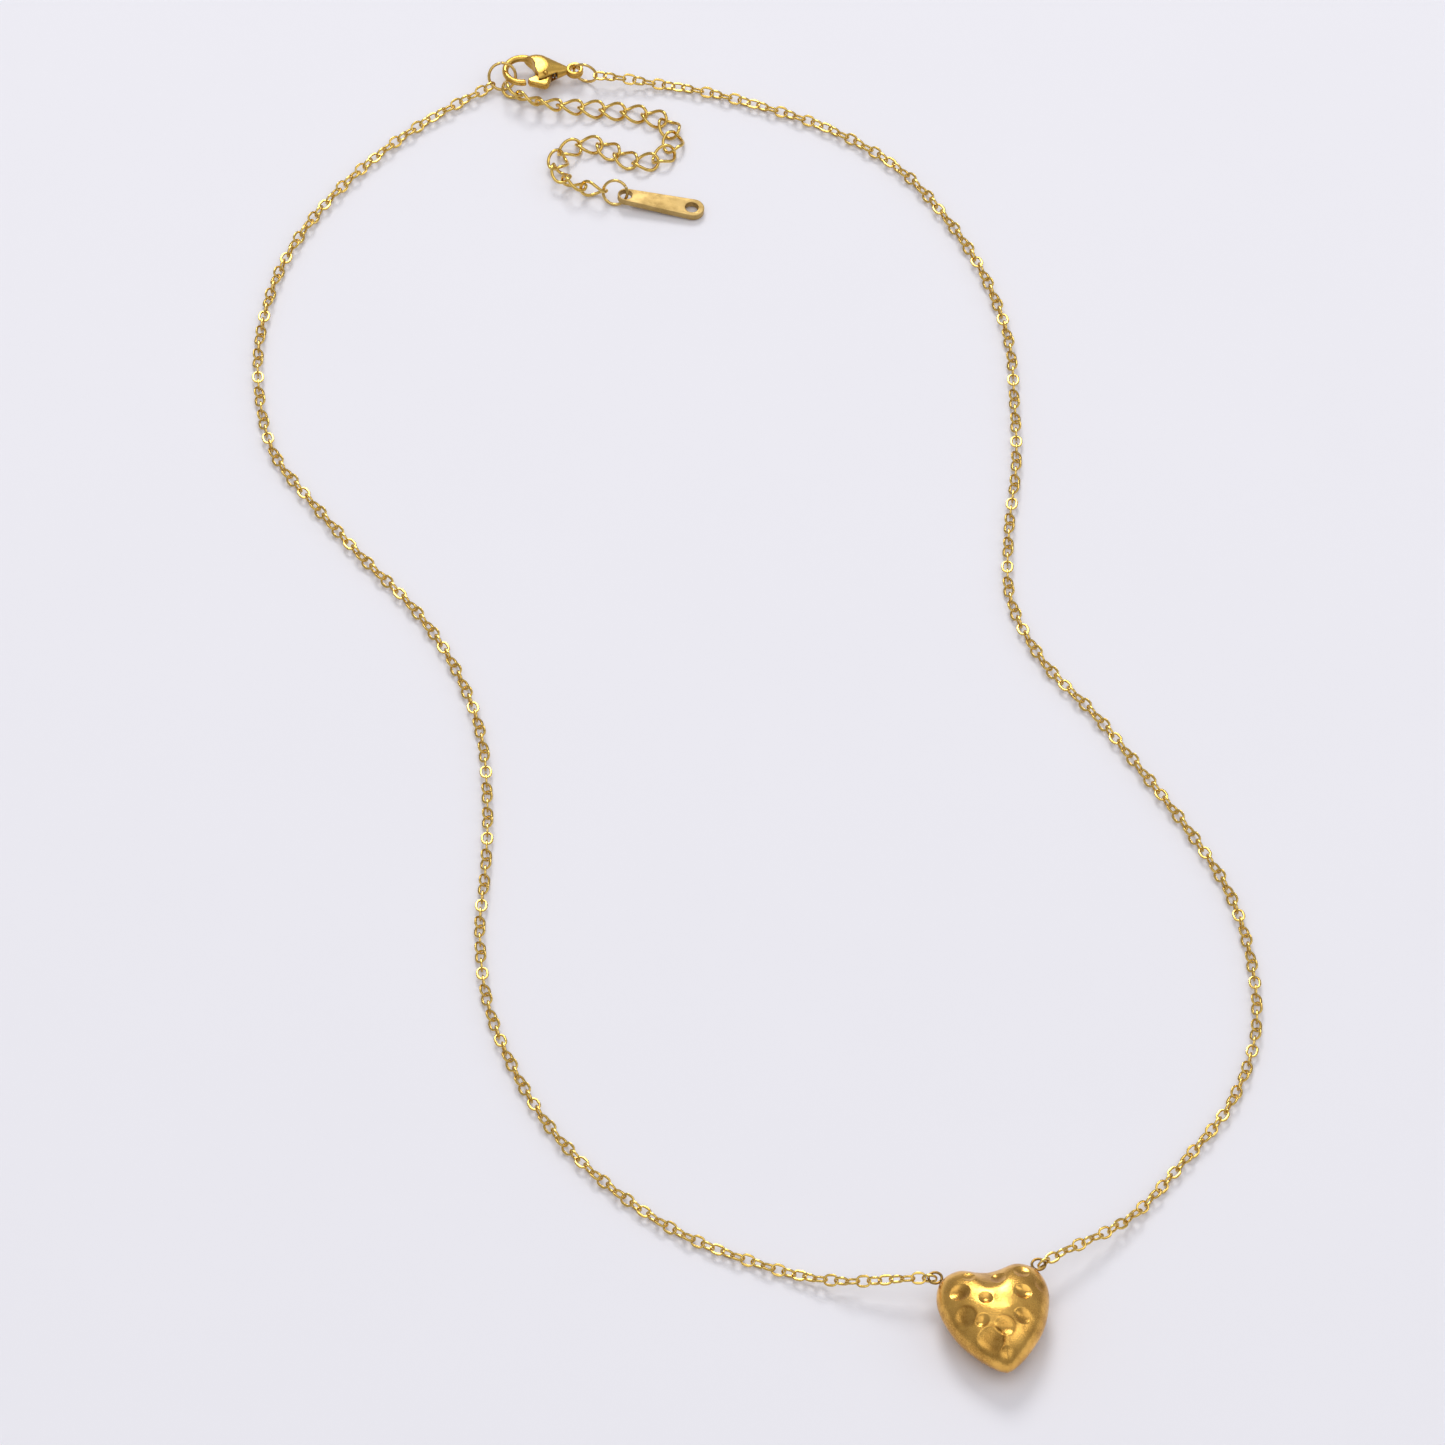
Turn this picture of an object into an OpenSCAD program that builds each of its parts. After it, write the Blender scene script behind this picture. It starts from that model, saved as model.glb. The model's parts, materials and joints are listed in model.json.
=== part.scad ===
// Pendant necklace: a fine cable chain with a hammered puffy heart,
// a lobster clasp and a short extender chain that ends in a flat tag.
// It lies closed on a table: +Z is up, the table is Z = 0, and the origin
// is under the middle of the whole necklace. All sizes are millimetres.

/* [Chain] */
// Distance from one chain link to the next
link_pitch = 1.15; // [1.1:0.01:1.2]
// Radial width of the flattened chain wire
link_wire = 0.2; // [0.16:0.01:0.22]
// Thickness of the flattened chain wire
link_thick = 0.22; // [0.18:0.01:0.24]
// Outside width of one chain link
link_width = 1.36; // [1.3:0.01:1.42]
// Free play between two chain links
link_play = 0.12; // [0.1:0.01:0.16]

/* [Heart] */
// Width of the heart over both lobes
heart_w = 11.8; // [10:0.1:13]
// Length of the heart from lobes to tip
heart_l = 12.9; // [11:0.1:14]
// Thickness of the puffed heart
heart_t = 6; // [4:0.1:7]
// Outside diameter of the wire eye on each lobe
eye_d = 1.7; // [1.5:0.05:2]
// Wire of the two eyes
eye_wire = 0.3; // [0.25:0.01:0.35]

/* [Clasp] */
// Thickness of the clasp body
clasp_t = 2.2; // [2:0.1:2.6]
// Thickness of the gate inside the clasp slot
gate_t = 1; // [0.8:0.05:1.1]
// Diameter of the gate's hinge pin
pin_d = 0.6; // [0.5:0.05:0.7]
// Outside diameter of the ring between chain and clasp
clasp_ring_d = 3.1; // [3:0.05:3.2]
// Wire of the ring between chain and clasp
clasp_ring_wire = 0.34; // [0.3:0.01:0.36]
// Outside diameter of the large ring that the clasp hooks into
end_ring_d = 3.5; // [3.3:0.05:3.7]
// Wire of the large ring
end_ring_wire = 0.36; // [0.3:0.01:0.4]

/* [Extender] */
// Wire of the twisted extender links
ext_wire = 0.36; // [0.3:0.01:0.38]
// Outside width of an extender link
ext_width = 2.7; // [2.5:0.05:2.9]
// Twist of a link from its middle to its end, in degrees
ext_twist = 45; // [42:1:48]
// Free play between two extender links
ext_play = 0.2; // [0.16:0.01:0.22]
// Distance between the two holes of the tag
tag_span = 7.8; // [7:0.1:9]
// Width of the tag at its ring
tag_near_w = 1.9; // [1.8:0.05:2.1]
// Width of the tag at its free end
tag_far_w = 2.6; // [2.3:0.05:2.9]
// Thickness of the tag
tag_t = 0.8; // [0.6:0.05:0.9]
// Hole for the ring
tag_near_hole = 1.4; // [1.35:0.05:1.45]
// Hole at the free end
tag_far_hole = 1.5; // [1.3:0.05:1.7]
// Outside diameter of the ring that holds the tag
tag_ring_d = 3.2; // [3:0.05:3.4]

/* [Hidden] */
$fn = 48;

gold = [0.84, 0.68, 0.38];
bright_gold = [0.92, 0.77, 0.47];
steel = [0.6, 0.6, 0.58];

// ---- Where the parts lie on the table ----

// Left strand, from the end ring down to the heart's left eye
left_route = [
    [-29.5, 89.5], [-37, 84], [-43.5, 77.5], [-49, 70], [-53, 61.5], [-55, 52],
    [-55, 43], [-53, 33.5], [-48, 25.5], [-42.5, 18], [-36.5, 10.5], [-32, 2.5],
    [-29, -6.5], [-28, -16], [-28, -25.5], [-28.5, -34.5], [-27.5, -44], [-24.5, -53],
    [-20, -61.5], [-14, -68.5], [-6.5, -74.5], [2, -78.5], [11, -81.3], [19.5, -81.8]
];
// Right strand, from the clasp ring down to the heart's right eye
right_route = [
    [-16.56, 90.57], [-7, 89.5], [2.5, 86.5], [11, 82.5], [18.5, 76.5], [24, 68.5],
    [28, 60], [30.5, 50.5], [31, 41], [31, 31.5], [30, 22], [30, 12], [33.5, 3],
    [39, -4.5], [44, -12.5], [49, -21], [53, -29.5], [55, -39], [55, -48.5],
    [52, -57.5], [46.5, -65.5], [40, -73.5], [31.5, -79.8]
];
// Height of the chain's middle: its links that stand on edge touch the table
chain_z = link_width / 2 + 0.02;
// Height of the two eyes, and how far from them the chain starts to rise
eye_z = heart_t / 2;
rise_l = 16;
// Height of the first link of each strand, and how soon it is back down
left_z = 0.83;
start_l = 9;
// Roll of each link about the chain, repeated all along it
link_rolls = [0, 90, 150, 30, 90, 150, 30, 90];
left_links = 188;
right_links = 186;
// Links at the open pivot and at the three pivots of the folding loop
left_pivot = 112;
right_first = 1;
right_pivot = 113;

// The heart lies on its back, turned a little
heart_at = [26.5, -87.1, heart_t / 2];
heart_yaw = 9;
eye_off = [5.5, 6.3];
// Way from a heart eye into its lobe
eye_dir = 47;

// The clasp lies across the end ring, so it is off the table
clasp_z = 1.6;
clasp_open = [-6.2, 0];
hook_r = 1.95;
hook_wire = 0.84;
gate_pivot = [-3.4, -1.15];
end_ring_at = [-28, 90.5, 1.57];
end_ring_tilt = 48;
end_ring_yaw = 8;

// The extender: place and heading of its first link, the turn and the slope
// of each next link, and its roll near both ends
ext_pitch = 2.5;
ext_start = [-26.9, 88.3, 1.39];
ext_heading = -46;
ext_turns = [27, 13, 3, -2, -3, -2, -12, -38, -38, -38, -38, -38, -6, 38, 38, 38, 38, 38, 17];
ext_slopes = [16, -8, -8, -6, -3, 0, 0, 0, 0, 0, 0, 0, 0, 0, 0, 3, 7, 7, 0, 0];
ext_rolls = [-74, -50, -32, -15, 0, 0, 0, 0, 0, 0, 0, 0, 0, 0, 0, 0, -15, -32, -50, -78];
ext_a = (ext_pitch + ext_wire + ext_play) / 2;
ext_b = (ext_width - ext_wire) / 2;
tag_ring_tilt = 55;
tag_slope = 4;

// Dimples hammered into the heart: middle x and y, radius, depth
dimples = [
    [-1.1, 1, 0.75, 0.22], [-3.6, 2.5, 1.05, 0.3], [-2.3, 4.4, 0.7, 0.16],
    [0.7, 3.8, 0.85, 0.22], [3.3, 4.3, 0.9, 0.25], [2.9, 1.4, 0.95, 0.3],
    [5.2, 2.5, 0.8, 0.22], [-1.9, -1.5, 0.75, 0.25], [0.2, -2.6, 1.1, 0.3],
    [2.3, -1.5, 0.9, 0.27], [-3.6, -0.6, 1.15, 0.3], [-1.5, -3.8, 1.45, 0.35],
    [0.1, -5.4, 0.75, 0.15], [1, 0.8, 1.3, 0.1]
];
// Right half of the heart's outline, in half widths and half lengths
heart_half = [
    [0, 0.92], [0.23, 0.94], [0.57, 1], [0.89, 0.82], [1, 0.37], [0.81, -0.24],
    [0.47, -0.68], [0.17, -0.93], [0, -1]
];
heart_rings = 18;

// ---- Curves ----

// Point between p1 and p2 on the smooth curve through four points
function spline(p0, p1, p2, p3, t) =
    0.5 * (2 * p1 + (p2 - p0) * t + (2 * p0 - 5 * p1 + 4 * p2 - p3) * t * t
    + (3 * p1 - p0 - 3 * p2 + p3) * t * t * t);

// Smooth open curve through a list of points, cut into short steps
function smooth(p, steps = 16) = let (n = len(p) - 1) [
    for (i = [0:n - 1])
        let (
            before = i > 0 ? p[i - 1] : 2 * p[0] - p[1],
            after = i < n - 1 ? p[i + 2] : 2 * p[n] - p[n - 1]
        )
        for (k = [0:steps - 1]) spline(before, p[i], p[i + 1], after, k / steps),
    p[n]
];

// Length along a curve at each of its points
function lengths(c) = [
    for (i = 0, s = 0; i < len(c); i = i + 1, s = i < len(c) ? s + norm(c[i] - c[i - 1]) : s) s
];

// Curve as [tables of x and y against length, whole length]
function measured(c) = let (s = lengths(c)) [
    [for (i = [0:len(c) - 1]) [s[i], c[i].x]],
    [for (i = [0:len(c) - 1]) [s[i], c[i].y]],
    s[len(s) - 1]
];

function ease(t) = let (u = min(max(t, 0), 1)) u * u * (3 - 2 * u);

// Place on a strand at length s: it comes down from its first link to the
// table, and rises at its other end to a heart eye
function on_strand(m, s) = [
    lookup(s, m[0]),
    lookup(s, m[1]),
    chain_z + (eye_z - chain_z) * ease(1 - (m[2] - s) / rise_l)
    + (m[3] - chain_z) * ease(1 - s / start_l)
];

left_strand = concat(measured(smooth(left_route)), left_z);
right_strand = concat(measured(smooth(right_route)), clasp_z);

// ---- Chain ----

module racetrack(l, w) {
    square([l - w, w], center = true);
    for (side = [-1, 1])
        translate([side * (l - w) / 2, 0])
            circle(d = w);
}

module chain_link() {
    l = link_pitch + 2 * link_wire + link_play;
    linear_extrude(link_thick, center = true)
        difference() {
            racetrack(l, link_width);
            racetrack(l - 2 * link_wire, link_width - 2 * link_wire);
        }
}

// Links first to last of a strand of count links; phase sets their rolls
module strand(m, count, first, last, phase) {
    step = m[2] / (count - 1);
    for (i = [first:last]) {
        here = on_strand(m, i * step);
        way = on_strand(m, i * step + 0.3) - on_strand(m, i * step - 0.3);
        translate(here)
            rotate([0, -atan2(way.z, norm([way.x, way.y])), atan2(way.y, way.x)])
                rotate([link_rolls[(i + phase) % 8], 0, 0])
                    chain_link();
    }
}

module chain_left_upper() {
    color(gold) strand(left_strand, left_links, 0, left_pivot - 1, 1);
}

module chain_left_lower() {
    color(gold) strand(left_strand, left_links, left_pivot, left_links - 1, 1);
}

module chain_right_first() {
    color(gold) strand(right_strand, right_links, right_links - right_first, right_links - 1, 0);
}

module chain_right_lower() {
    color(gold)
        strand(right_strand, right_links, right_links - right_pivot, right_links - right_first - 1, 0);
}

module chain_right_upper() {
    color(gold) strand(right_strand, right_links, 0, right_links - right_pivot - 1, 0);
}

// ---- Heart ----

// Height of the puffed heart at a share r of the way out, without dimples
function puff(r) = heart_t / 2 * pow(1 - pow(r, 2.4), 0.55);

// Depth of the deepest dimple at x, y
function dimpled(x, y, side) = max([
    for (d = dimples)
        let (q = (pow(x * side - d[0], 2) + pow(y - d[1], 2)) / pow(d[2], 2))
            d[3] * pow(max(1 - q, 0), 1.2)
]);

module heart_solid() {
    half = smooth([for (p = heart_half) [p.x * heart_w / 2, p.y * heart_l / 2]], 5);
    n = len(half) - 1;
    rim = concat(half, [for (i = [n - 1:-1:1]) [-half[i].x, half[i].y]]);
    m = len(rim);
    function top(k, side) = [
        for (p = rim)
            let (
                r = sin(90 * k / heart_rings),
                cleft = 1 - 0.3 * exp(-pow(p.x * r / 1.3, 2)) * ease((p.y * r - 2) / 4),
                z = max(puff(r) * cleft - dimpled(p.x * r, p.y * r, side) * ease(4 - 4 * r), 0)
            )
            [p.x * r, p.y * r, side * z]
    ];
    points = concat(
        [[0, 0, puff(0) - dimpled(0, 0, 1)]],
        [for (k = [1:heart_rings - 1]) each top(k, 1)],
        [for (p = rim) [p.x, p.y, 0]],
        [for (k = [heart_rings - 1:-1:1]) each top(k, -1)],
        [[0, 0, dimpled(0, 0, -1) - puff(0)]]
    );
    rows = 2 * heart_rings - 1;
    last = len(points) - 1;
    faces = concat(
        [for (j = [0:m - 1]) [0, 1 + j, 1 + (j + 1) % m]],
        [for (k = [0:rows - 2], j = [0:m - 1])
            let (a = 1 + k * m + j, b = 1 + k * m + (j + 1) % m)
                each [[a, a + m, b], [b, a + m, b + m]]],
        [for (j = [0:m - 1]) let (a = last - m) [last, a + (j + 1) % m, a + j]]
    );
    polyhedron(points, faces);
}

module at_heart() {
    translate(heart_at)
        rotate([0, 0, heart_yaw])
            children();
}

// Frame of one eye: its middle, with +X pointing into the lobe
module at_eye(side) {
    at_heart()
        translate([side * eye_off.x, eye_off.y, 0])
            rotate([0, 0, side > 0 ? 180 + eye_dir : -eye_dir])
                children();
}

module eye_shank() {
    rotate([0, 90, 0])
        cylinder(d = eye_wire * 1.6, h = eye_d / 2 + 1.1);
}

module heart_body() {
    color(gold)
        difference() {
            at_heart() heart_solid();
            for (side = [-1, 1])
                at_eye(side) eye_shank();
        }
}

module heart_eye(side) {
    color(bright_gold)
        at_eye(side) {
            wire_ring(eye_d, eye_wire);
            difference() {
                eye_shank();
                cylinder(d = eye_d - eye_wire, h = 2, center = true);
            }
        }
}

// ---- Rings ----

module wire_ring(d, wire) {
    rotate_extrude()
        translate([(d - wire) / 2, 0])
            circle(d = wire, $fn = 32);
}

module end_ring() {
    color(bright_gold)
        translate(end_ring_at)
            rotate([0, 0, end_ring_yaw])
                rotate([end_ring_tilt, 0, 0])
                    wire_ring(end_ring_d, end_ring_wire);
}

// The clasp ring stands upright, between the chain's first link and the tail
clasp_ring_yaw = -18;
clasp_ring_r = (clasp_ring_d - clasp_ring_wire) / 2;
in_first_link = (link_pitch + link_play - clasp_ring_wire) / 2 - 0.05;
clasp_ring_at = [
    right_route[0].x - in_first_link - clasp_ring_r * cos(clasp_ring_yaw),
    right_route[0].y - clasp_ring_r * sin(clasp_ring_yaw),
    clasp_z
];

module clasp_ring() {
    color(bright_gold)
        translate(clasp_ring_at)
            rotate([90, 0, clasp_ring_yaw])
                wire_ring(clasp_ring_d, clasp_ring_wire);
}

// ---- Clasp ----

// Frame of the clasp: origin in the tail eye, hook towards -X, gate towards -Y
tail_reach = clasp_ring_r - 0.08;
clasp_at = clasp_ring_at - tail_reach * [cos(clasp_ring_yaw), sin(clasp_ring_yaw), 0];
tail_d = 2;
tail_hole = 1.1;
tail_t = 0.9;
body_r = 2.15;
neck_r = 0.55;
body_x = -4.5;
neck_x = -1.1;
hook_from = 50;
hook_to = 285;
arm_tip = [-5.1, -1.85];
slot_t = gate_t + 0.2;

module at_clasp() {
    translate(clasp_at)
        children();
}

// Solid of two discs on the X axis, r1 at x1 and r2 at x2 > x1, and
// the straight sides that touch both; h thick, centred on z = 0
module tapered(x1, r1, x2, r2, h) {
    lean = acos((r1 - r2) / (x2 - x1));
    tangent = [cos(lean), sin(lean)];
    translate([x1, 0, 0])
        cylinder(r = r1, h = h, center = true);
    translate([x2, 0, 0])
        cylinder(r = r2, h = h, center = true);
    linear_extrude(h, center = true)
        polygon([
            [x1, 0] + r1 * tangent,
            [x2, 0] + r2 * tangent,
            [x2, 0] + r2 * [tangent.x, -tangent.y],
            [x1, 0] + r1 * [tangent.x, -tangent.y]
        ]);
}

module clasp_hook() {
    translate(clasp_open)
        rotate([0, 0, hook_from])
            rotate_extrude(angle = hook_to - hook_from)
                translate([hook_r, 0])
                    circle(d = hook_wire, $fn = 32);
}

// Thick eye at the narrow end of the body
module clasp_tail() {
    difference() {
        cylinder(d = tail_d + 0.02, h = tail_t, center = true);
        cylinder(d = tail_hole, h = tail_t + 1, center = true);
    }
}

module clasp_body() {
    color(gold)
        at_clasp()
            difference() {
                union() {
                    difference() {
                        tapered(body_x, body_r, neck_x, neck_r, clasp_t);
                        translate(clasp_open)
                            cylinder(r = hook_r - hook_wire / 2, h = clasp_t + 1, center = true);
                        translate([body_x - 1.15, -1.6, 0])
                            cube([2.7, 2.4, clasp_t + 1], center = true);
                        translate([body_x, -1.75, 0])
                            cube([5, 3.1, slot_t], center = true);
                        cylinder(d = tail_d, h = clasp_t + 1, center = true);
                    }
                    clasp_hook();
                    clasp_tail();
                }
                translate(gate_pivot)
                    cylinder(d = pin_d, h = clasp_t + 1, center = true);
            }
}

// Solid gate: arm, round boss and the thumb lever
module gate_blank() {
    thumb = gate_pivot + [-0.1, -1];
    for (end = [[gate_pivot, 0.75], [arm_tip, 0.38], [thumb, 0.6]])
        translate(end[0])
            cylinder(r = end[1], h = gate_t, center = true);
    linear_extrude(gate_t, center = true)
        polygon([
            arm_tip + [-0.1, 0.36], gate_pivot + [-0.2, 0.7],
            thumb + [0, -0.6], arm_tip + [0.08, -0.37]
        ]);
    linear_extrude(gate_t, center = true)
        polygon([
            gate_pivot + [-0.2, 0.7], gate_pivot + [0.72, -0.2],
            thumb + [0.57, -0.18], thumb + [-0.1, -0.55]
        ]);
}

module clasp_gate() {
    color(bright_gold)
        at_clasp()
            difference() {
                gate_blank();
                translate(gate_pivot)
                    cylinder(d = pin_d + 0.06, h = clasp_t, center = true);
            }
}

module clasp_pin() {
    color(bright_gold)
        at_clasp()
            translate(gate_pivot)
                cylinder(d = pin_d, h = clasp_t, center = true);
}

// Hairpin spring in the slot, with one leg along the gate's boss
module clasp_spring() {
    wire = 0.2;
    bend_r = 0.19;
    leg = 0.55;
    color(steel)
        at_clasp()
            translate(gate_pivot + [1.06, 0.55]) {
                rotate_extrude(angle = 180)
                    translate([bend_r, 0])
                        circle(d = wire, $fn = 16);
                for (side = [-1, 1])
                    translate([side * bend_r, 0, 0])
                        rotate([90, 0, 0])
                            cylinder(d = wire, h = leg, $fn = 16);
            }
}

// ---- Extender ----

function total(v, i = 0) = i < len(v) ? v[i] + total(v, i + 1) : 0;

function ext_way(i) = ext_heading + (i > 0 ? total([for (k = [0:i - 1]) ext_turns[k]]) : 0);

function ext_dir(i) = [
    cos(ext_way(i)) * cos(ext_slopes[i]),
    sin(ext_way(i)) * cos(ext_slopes[i]),
    sin(ext_slopes[i])
];

function ext_at(i) = i == 0 ? ext_start
    : ext_at(i - 1) + ext_pitch / 2 * (ext_dir(i - 1) + ext_dir(i));

// Middle line of a twisted link at angle t round it
function curb(t) = let (u = ext_b * sin(t), twist = ext_twist * cos(t))
    [ext_a * cos(t), u * cos(twist), u * sin(twist)];

module curb_link() {
    n = 20;
    sides = 8;
    points = [
        for (i = [0:n - 1])
            let (
                t = 360 * i / n,
                run = curb(t + 1) - curb(t - 1),
                along = run / norm(run),
                twist = ext_twist * cos(t),
                across = cross(along, [0, -sin(twist), cos(twist)]),
                out = across / norm(across),
                up = cross(out, along)
            )
            for (k = [0:sides - 1])
                curb(t) + ext_wire / 2 * (cos(360 * k / sides) * out + sin(360 * k / sides) * up)
    ];
    faces = [
        for (i = [0:n - 1], k = [0:sides - 1])
            let (
                a = i * sides + k,
                b = i * sides + (k + 1) % sides,
                c = (i + 1) % n * sides + k,
                d = (i + 1) % n * sides + (k + 1) % sides
            )
            each [[a, b, c], [b, d, c]]
    ];
    polyhedron(points, faces);
}

module ext_link(number) {
    i = number - 1;
    color(gold)
        translate(ext_at(i))
            rotate([0, -ext_slopes[i], ext_way(i)])
                rotate([ext_rolls[i], 0, 0])
                    curb_link();
}

// Middle of the tag ring, one ring radius past the last link
tag_ring_r = (tag_ring_d - end_ring_wire) / 2;
tag_yaw = ext_way(19);
tag_ring_reach = ext_a - ext_wire / 2 - end_ring_wire / 2 - 0.05 + tag_ring_r;
tag_ring_at = [
    ext_at(19).x + tag_ring_reach * cos(tag_yaw),
    ext_at(19).y + tag_ring_reach * sin(tag_yaw),
    tag_ring_r * sin(tag_ring_tilt) + end_ring_wire / 2 + 0.02
];

module at_tag_ring() {
    translate(tag_ring_at)
        rotate([0, 0, tag_yaw])
            children();
}

module tag_ring() {
    color(bright_gold)
        at_tag_ring()
            rotate([tag_ring_tilt, 0, 0])
                wire_ring(tag_ring_d, end_ring_wire);
}

// Tag from the middle of its near hole, along +X to its free end
module tag_plate() {
    color(gold)
        at_tag_ring()
            translate([tag_ring_r - 0.14, -0.18, -0.25])
                rotate([0, tag_slope, 0])
                    difference() {
                        translate([tag_span, 0, 0])
                            rotate([0, 0, 180])
                                tapered(-0.15, tag_far_w / 2, tag_span, tag_near_w / 2, tag_t);
                        cylinder(d = tag_near_hole, h = tag_t + 1, center = true);
                        translate([tag_span, 0, 0])
                            cylinder(d = tag_far_hole, h = tag_t + 1, center = true);
                    }
}

heart_body();
heart_eye(-1);  // heart_eye_left
heart_eye(1);  // heart_eye_right
chain_left_upper();
chain_left_lower();
chain_right_first();
chain_right_lower();
chain_right_upper();
clasp_ring();
clasp_body();
clasp_gate();
clasp_pin();
clasp_spring();
end_ring();
ext_link(1);  // ext_link_01
ext_link(2);  // ext_link_02
ext_link(3);  // ext_link_03
ext_link(4);  // ext_link_04
ext_link(5);  // ext_link_05
ext_link(6);  // ext_link_06
ext_link(7);  // ext_link_07
ext_link(8);  // ext_link_08
ext_link(9);  // ext_link_09
ext_link(10);  // ext_link_10
ext_link(11);  // ext_link_11
ext_link(12);  // ext_link_12
ext_link(13);  // ext_link_13
ext_link(14);  // ext_link_14
ext_link(15);  // ext_link_15
ext_link(16);  // ext_link_16
ext_link(17);  // ext_link_17
ext_link(18);  // ext_link_18
ext_link(19);  // ext_link_19
ext_link(20);  // ext_link_20
tag_ring();
tag_plate();
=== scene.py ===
"""Pendant necklace on a pale table: cable chain, hammered puffy heart,
lobster clasp and an extender chain with a flat tag."""

import json
import math
import random

import bmesh
import bpy
import numpy as np
from mathutils import Matrix, Vector


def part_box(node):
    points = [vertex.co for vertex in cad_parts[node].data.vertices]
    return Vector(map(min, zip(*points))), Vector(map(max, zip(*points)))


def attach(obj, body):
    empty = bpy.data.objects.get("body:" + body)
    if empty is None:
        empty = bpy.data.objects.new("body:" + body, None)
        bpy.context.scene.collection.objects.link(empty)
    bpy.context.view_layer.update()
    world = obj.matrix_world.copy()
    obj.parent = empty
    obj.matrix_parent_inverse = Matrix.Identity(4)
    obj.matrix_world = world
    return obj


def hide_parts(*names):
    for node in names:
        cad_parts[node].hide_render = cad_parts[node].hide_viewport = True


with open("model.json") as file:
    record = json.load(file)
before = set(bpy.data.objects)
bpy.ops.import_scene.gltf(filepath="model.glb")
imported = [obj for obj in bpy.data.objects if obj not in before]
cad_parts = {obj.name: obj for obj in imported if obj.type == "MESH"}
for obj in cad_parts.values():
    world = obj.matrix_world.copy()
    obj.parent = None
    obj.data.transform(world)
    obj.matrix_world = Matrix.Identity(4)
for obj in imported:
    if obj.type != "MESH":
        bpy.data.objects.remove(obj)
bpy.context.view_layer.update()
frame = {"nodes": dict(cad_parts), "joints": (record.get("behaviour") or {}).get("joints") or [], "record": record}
NODES = frame["nodes"]
BODY_OF = {n: b for b, names in frame["record"]["behaviour"]["bodies"].items() for n in names}
SLOT_OF = {s["node"]: s["material_slot"] for s in frame["record"]["subparts"]}
JOINTS = {j["name"]: j for j in frame["joints"]}
MM = 0.001
rng = random.Random(7)

# ---------------------------------------------------------------- sizes, mm

LINK_L = 1.67        # outside length of a cable link
LINK_W = 1.36        # outside width
LINK_WIRE = 0.21     # radial width of its wire at the two ends
LINK_BELLY = 0.07    # how much wider the flattened wire is along the two sides
LINK_T = 0.22        # thickness of its wire
EXT_A, EXT_B = 1.52, 1.16      # half length and half width of a curb link's middle line
EXT_WIRE = 0.38
EXT_TWIST = math.radians(45)
HEART_W, HEART_L, HEART_T = 11.8, 12.9, 6.0
EYE_OFF = (5.5, 6.3)
EYE_D, EYE_WIRE = 1.7, 0.3
SHANK_R, SHANK_L = 0.24, 1.1
EYE_DIR = math.radians(47)
HOLLOW_TINT, CREASE_PAINTED_SHADE, EYE_PAINTED_REFLECTION = 0.35, 0.6, 0.75    # how dark their gold is, 0 to 1: patina in the hollows, painted shade along the creases, painted dark reflection on the eye wires
DIMPLE_GAIN = 1.3    # the crisp dimples are this much deeper than their table
# Clasp, in its own frame: origin in the tail eye, hook towards -X, gate towards -Y
CLASP_T = 2.2
CASTING_X, CASTING_R = -4.5, 2.14      # broad end of the body
NECK_X, NECK_R = -1.1, 0.54            # narrow end, at the tail eye
HOOK_X, HOOK_R = -6.2, 1.94            # middle and radius of the hook's middle line
HOOK_FROM, HOOK_TO = 46, 284.5         # degrees
HOOK_ROOM = 1.55                       # radius of the opening inside the hook
TAIL_R, TAIL_W, TAIL_T = 0.775, 0.45, 0.88
GATE_PIVOT = (-3.4, -1.15)
GATE_T = 1.0
GATE_ROUND = 0.35                      # how square the gate's edges are
SLOT_T = 1.2                           # slot between the two plates
PIN_D, PIN_PLAY = 0.6, 0.03
SPRING_WIRE, SPRING_BEND, SPRING_LEG = 0.2, 0.19, 0.55
SPRING_OFF = (1.06, 0.55)              # its bend, from the pivot
TAG_SPAN, TAG_T = 7.8, 0.8     # between the two holes; thickness
TAG_NEAR_R, TAG_FAR_R, TAG_FAR_X = 0.95, 1.3, 7.95
TAG_NEAR_HOLE, TAG_FAR_HOLE = 1.4, 1.5


# ---------------------------------------------------------------- geometry helpers


def new_object(name, verts, faces, smooth=True):
    """Mesh object from metres; shared corners are welded and normals point outwards."""
    mesh = bpy.data.meshes.new(name)
    mesh.from_pydata([tuple(v) for v in verts], [], [tuple(f) for f in faces])
    obj = bpy.data.objects.new(name, mesh)
    bpy.context.scene.collection.objects.link(obj)
    tidy(obj, smooth)
    return obj


def tidy(obj, smooth=True):
    bm = bmesh.new()
    bm.from_mesh(obj.data)
    bmesh.ops.remove_doubles(bm, verts=bm.verts, dist=1e-9)
    bmesh.ops.recalc_face_normals(bm, faces=bm.faces)
    bm.to_mesh(obj.data)
    bm.free()
    for poly in obj.data.polygons:
        poly.use_smooth = smooth


def evaluated(obj):
    """Applies obj's modifiers to its mesh."""
    graph = bpy.context.evaluated_depsgraph_get()
    mesh = bpy.data.meshes.new_from_object(obj.evaluated_get(graph))
    obj.modifiers.clear()
    old = obj.data
    obj.data = mesh
    if isinstance(old, bpy.types.Mesh):
        bpy.data.meshes.remove(old)
    return obj


def sweep(centre, out, up, section, closed=True):
    """Verts and faces of a section carried along a path; section is (out, up) pairs."""
    n, m = len(centre), len(section)
    verts = [c + s * o + t * u for c, o, u in zip(centre, out, up) for s, t in section]
    faces = []
    for i in range(n if closed else n - 1):
        j = (i + 1) % n
        for k in range(m):
            l = (k + 1) % m
            faces.append((i * m + k, j * m + k, j * m + l, i * m + l))
    if not closed:
        faces.append(tuple(range(m - 1, -1, -1)))
        faces.append(tuple((n - 1) * m + k for k in range(m)))
    return np.array(verts), faces


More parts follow.
